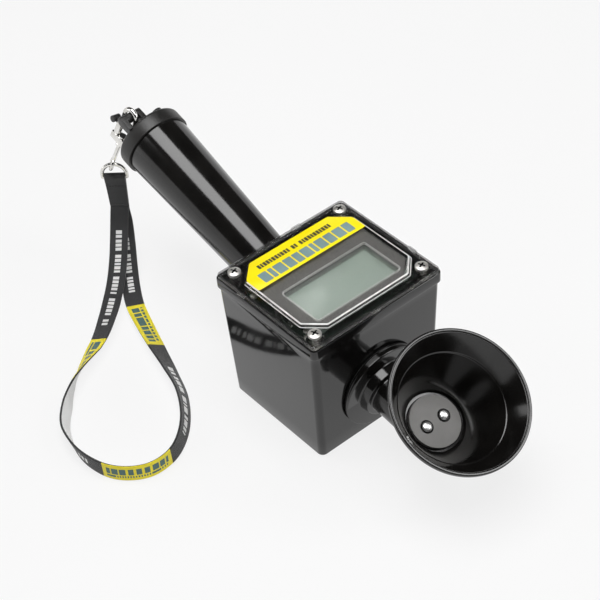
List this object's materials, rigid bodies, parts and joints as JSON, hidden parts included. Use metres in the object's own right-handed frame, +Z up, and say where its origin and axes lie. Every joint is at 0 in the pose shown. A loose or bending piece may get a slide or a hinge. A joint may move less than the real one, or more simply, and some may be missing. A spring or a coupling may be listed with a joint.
{
  "type": "hand-held liquid conductivity meter",
  "caption": "Hand-held conductivity meter: black box with a display under a clear cover, a battery handle, a sensor cup with electrodes on a stub neck, and a wrist strap on a snap hook.",
  "frame": {"origin": "centre of the housing's flat underside, which stands on the surface", "axes": "+X towards the sensor cup, +Z up, the handle rises away along -X"},
  "size_m": [0.2975, 0.175, 0.105],
  "materials": {
    "black_gloss": "glossy moulded ABS, black",
    "black_rubber": "matte moulded rubber, black",
    "gasket_rubber": "soft sealing rubber",
    "clear_plastic": "clear polycarbonate",
    "label_yellow": "printed yellow film",
    "bezel_grey": "fine-textured dark grey",
    "display_glass": "reflective grey-green liquid crystal",
    "tin_pins": "tinned",
    "board_green": "green solder mask",
    "chip_black": "moulded epoxy",
    "socket_white": "nylon",
    "screw_nickel": "nickel-plated",
    "bush_black": "moulded, satin",
    "button_red": "glossy red",
    "spring_steel": "drawn spring wire",
    "wire_blue": "insulated wire",
    "wire_red": "insulated wire",
    "electrode_grey": "satin grey resin",
    "electrode_steel": "polished stainless steel",
    "nut_steel": "plated",
    "nut_plastic": "moulded nylon",
    "battery_blue": "wrapped can",
    "foam_grey": "soft foam",
    "hook_chrome": "bright chrome plate",
    "trigger_black": "glossy black",
    "strap_fabric": "woven polyester ribbon"
  },
  "bodies": {
    "housing": {"housing": "black_gloss", "cover_gasket": "gasket_rubber", "clear_cover": "clear_plastic", "cover_screws": "screw_nickel", "label": "label_yellow", "display_bezel": "bezel_grey", "display_glass": "display_glass", "display_pins": "tin_pins", "circuit_board": "board_green", "board_chips": "chip_black", "board_sockets": "socket_white", "board_screws": "screw_nickel", "switch_body": "bush_black", "switch_nut": "nut_steel", "button_bush": "bush_black", "button_spring": "spring_steel", "switch_wires": "wire_blue", "flange_gasket": "gasket_rubber", "cup_neck": "black_gloss", "neck_nut": "nut_plastic", "cup": "black_gloss", "electrode_base": "electrode_grey", "electrodes": "electrode_steel", "electrode_seals": "gasket_rubber", "electrode_nuts": "nut_steel", "cup_plug": "nut_plastic", "sensor_wires": "wire_red", "handle_gasket": "gasket_rubber", "handle": "black_gloss", "handle_nut": "nut_plastic", "battery_leads": "wire_red", "battery_snap": "nut_plastic", "battery_terminals": "nut_steel", "battery": "battery_blue", "foam_pad": "foam_grey"},
    "power_button": {"power_button": "button_red"},
    "end_cap": {"end_cap": "black_rubber"},
    "strap_end": {"swivel_eye": "hook_chrome", "d_ring": "hook_chrome", "strap_tab": "strap_fabric", "strap": "strap_fabric"},
    "hook": {"hook": "hook_chrome", "trigger_spring": "spring_steel"},
    "hook_trigger": {"hook_trigger": "trigger_black"}
  },
  "joints": [
    {"name": "button_press", "type": "slide", "parent": "housing", "child": "power_button", "axis": [0.9993, 0, 0.0372], "range_m": [0, 0.0015], "stiffness_N_per_m": 300, "springref_m": -0.002, "deforming": ["button_spring"]},
    {"name": "cap_pull", "type": "slide", "parent": "housing", "child": "end_cap", "axis": [-0.9497, 0, 0.3132], "range_m": [0, 0.03]},
    {"name": "strap_swing", "type": "hinge", "parent": "end_cap", "child": "strap_end", "pos_m": [-0.15322, -0.008, 0.09914], "axis": [0, 1, 0], "range_deg": [0, 50]},
    {"name": "hook_swivel", "type": "hinge", "parent": "strap_end", "child": "hook", "pos_m": [-0.15322, -0.008, 0.09914], "axis": [-0.3446, -0.2419, -0.9071], "range_deg": [-10, 10]},
    {"name": "trigger_pull", "type": "slide", "parent": "hook", "child": "hook_trigger", "axis": [-0.3446, -0.2419, -0.9071], "range_m": [0, 0.0035], "stiffness_N_per_m": 150, "springref_m": -0.003, "deforming": ["trigger_spring"]}
  ]
}
